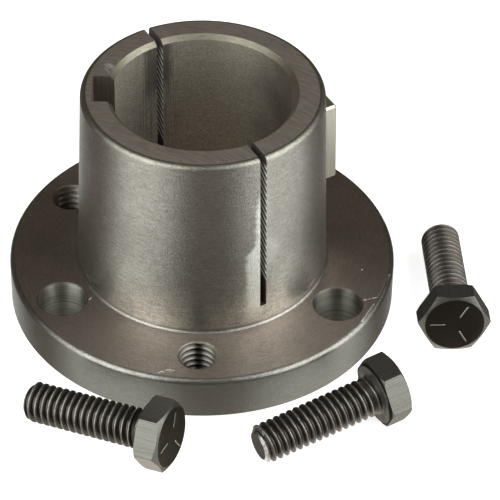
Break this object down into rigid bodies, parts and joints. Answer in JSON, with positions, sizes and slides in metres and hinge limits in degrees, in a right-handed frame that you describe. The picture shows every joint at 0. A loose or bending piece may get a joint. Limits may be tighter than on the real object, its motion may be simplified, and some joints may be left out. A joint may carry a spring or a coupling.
{
  "type": "flanged split taper bushing",
  "caption": "Flanged steel bushing with a split tapered barrel, keyed bore, outside drive key, flange holes for clamping and push-off, and its hex cap screws lying beside it.",
  "frame": {"origin": "where the bore axis meets the flange's back face, which is the plane the bushing and its screws rest on", "axes": "+Z along the bore axis from the flange to the small end of the barrel; -X through the keyway in the bore; -Y through the front tapped hole"},
  "size_m": [0.095, 0.0948, 0.0492],
  "materials": {
    "turned_steel": "oiled turned steel, satin, with tool marks",
    "key_steel": "cold drawn key stock, ground sides",
    "black_oxide_steel": "oiled black oxide, worn bright on crests and corners"
  },
  "bodies": {
    "root": {"bushing": "turned_steel", "external_key": "key_steel", "cap_screw_left": "black_oxide_steel", "cap_screw_front": "black_oxide_steel", "cap_screw_right": "black_oxide_steel"}
  },
  "joints": []
}
